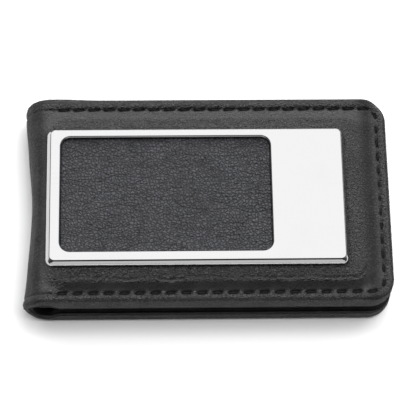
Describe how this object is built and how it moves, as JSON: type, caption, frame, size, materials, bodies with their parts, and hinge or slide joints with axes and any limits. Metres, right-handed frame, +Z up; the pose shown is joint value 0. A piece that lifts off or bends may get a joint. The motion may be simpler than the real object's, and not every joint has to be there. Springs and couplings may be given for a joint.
{
  "type": "money clip",
  "caption": "Folding leather money clip with magnetic jaws, and a polished metal plate with a sunken leather inlay on top.",
  "frame": {"origin": "under the middle of the clip, on the surface it lies on", "axes": "+X from the fold to the tip, +Y from the front edge to the back edge, +Z up through the metal plate"},
  "size_m": [0.075, 0.045, 0.0128],
  "materials": {
    "cover_leather": "black pebble grain, soft gloss",
    "lining_leather": "black fine grain, matt",
    "inlay_leather": "dark grey pebble grain, matt",
    "plate_metal": "polished",
    "thread": "waxed black thread",
    "foam": "closed-cell foam sheet",
    "board": "pressed fibre board",
    "magnet": "nickel plate",
    "push_nut": "plain spring steel"
  },
  "bodies": {
    "lower_jaw": {"lower_cover": "cover_leather", "lower_foam_pad": "foam", "lower_core_board": "board", "lower_magnet_front": "magnet", "lower_magnet_back": "magnet", "lower_lining": "lining_leather", "lower_outer_thread": "thread", "lower_inner_thread": "thread"},
    "spine": {"spine_cover": "cover_leather", "spine_lining": "lining_leather"},
    "upper_jaw": {"upper_cover": "cover_leather", "upper_foam_pad": "foam", "upper_core_board": "board", "upper_magnet_front": "magnet", "upper_magnet_back": "magnet", "upper_lining": "lining_leather", "upper_outer_thread": "thread", "upper_inner_thread": "thread", "plate_frame": "plate_metal", "plate_inlay": "inlay_leather", "push_nut_1": "push_nut", "push_nut_2": "push_nut", "push_nut_3": "push_nut", "push_nut_4": "push_nut"}
  },
  "joints": [
    {"name": "lower_bend", "type": "hinge", "parent": "lower_jaw", "child": "spine", "pos_m": [-0.03543, 0, 0.00257], "axis": [0, -1, 0], "range_deg": [0, 75]},
    {"name": "upper_bend", "type": "hinge", "parent": "spine", "child": "upper_jaw", "pos_m": [-0.03543, 0, 0.00843], "axis": [0, -1, 0], "range_deg": [0, 75]}
  ],
  "couplings": [
    {"joint": "upper_bend", "follows": "lower_bend", "ratio": 1}
  ]
}
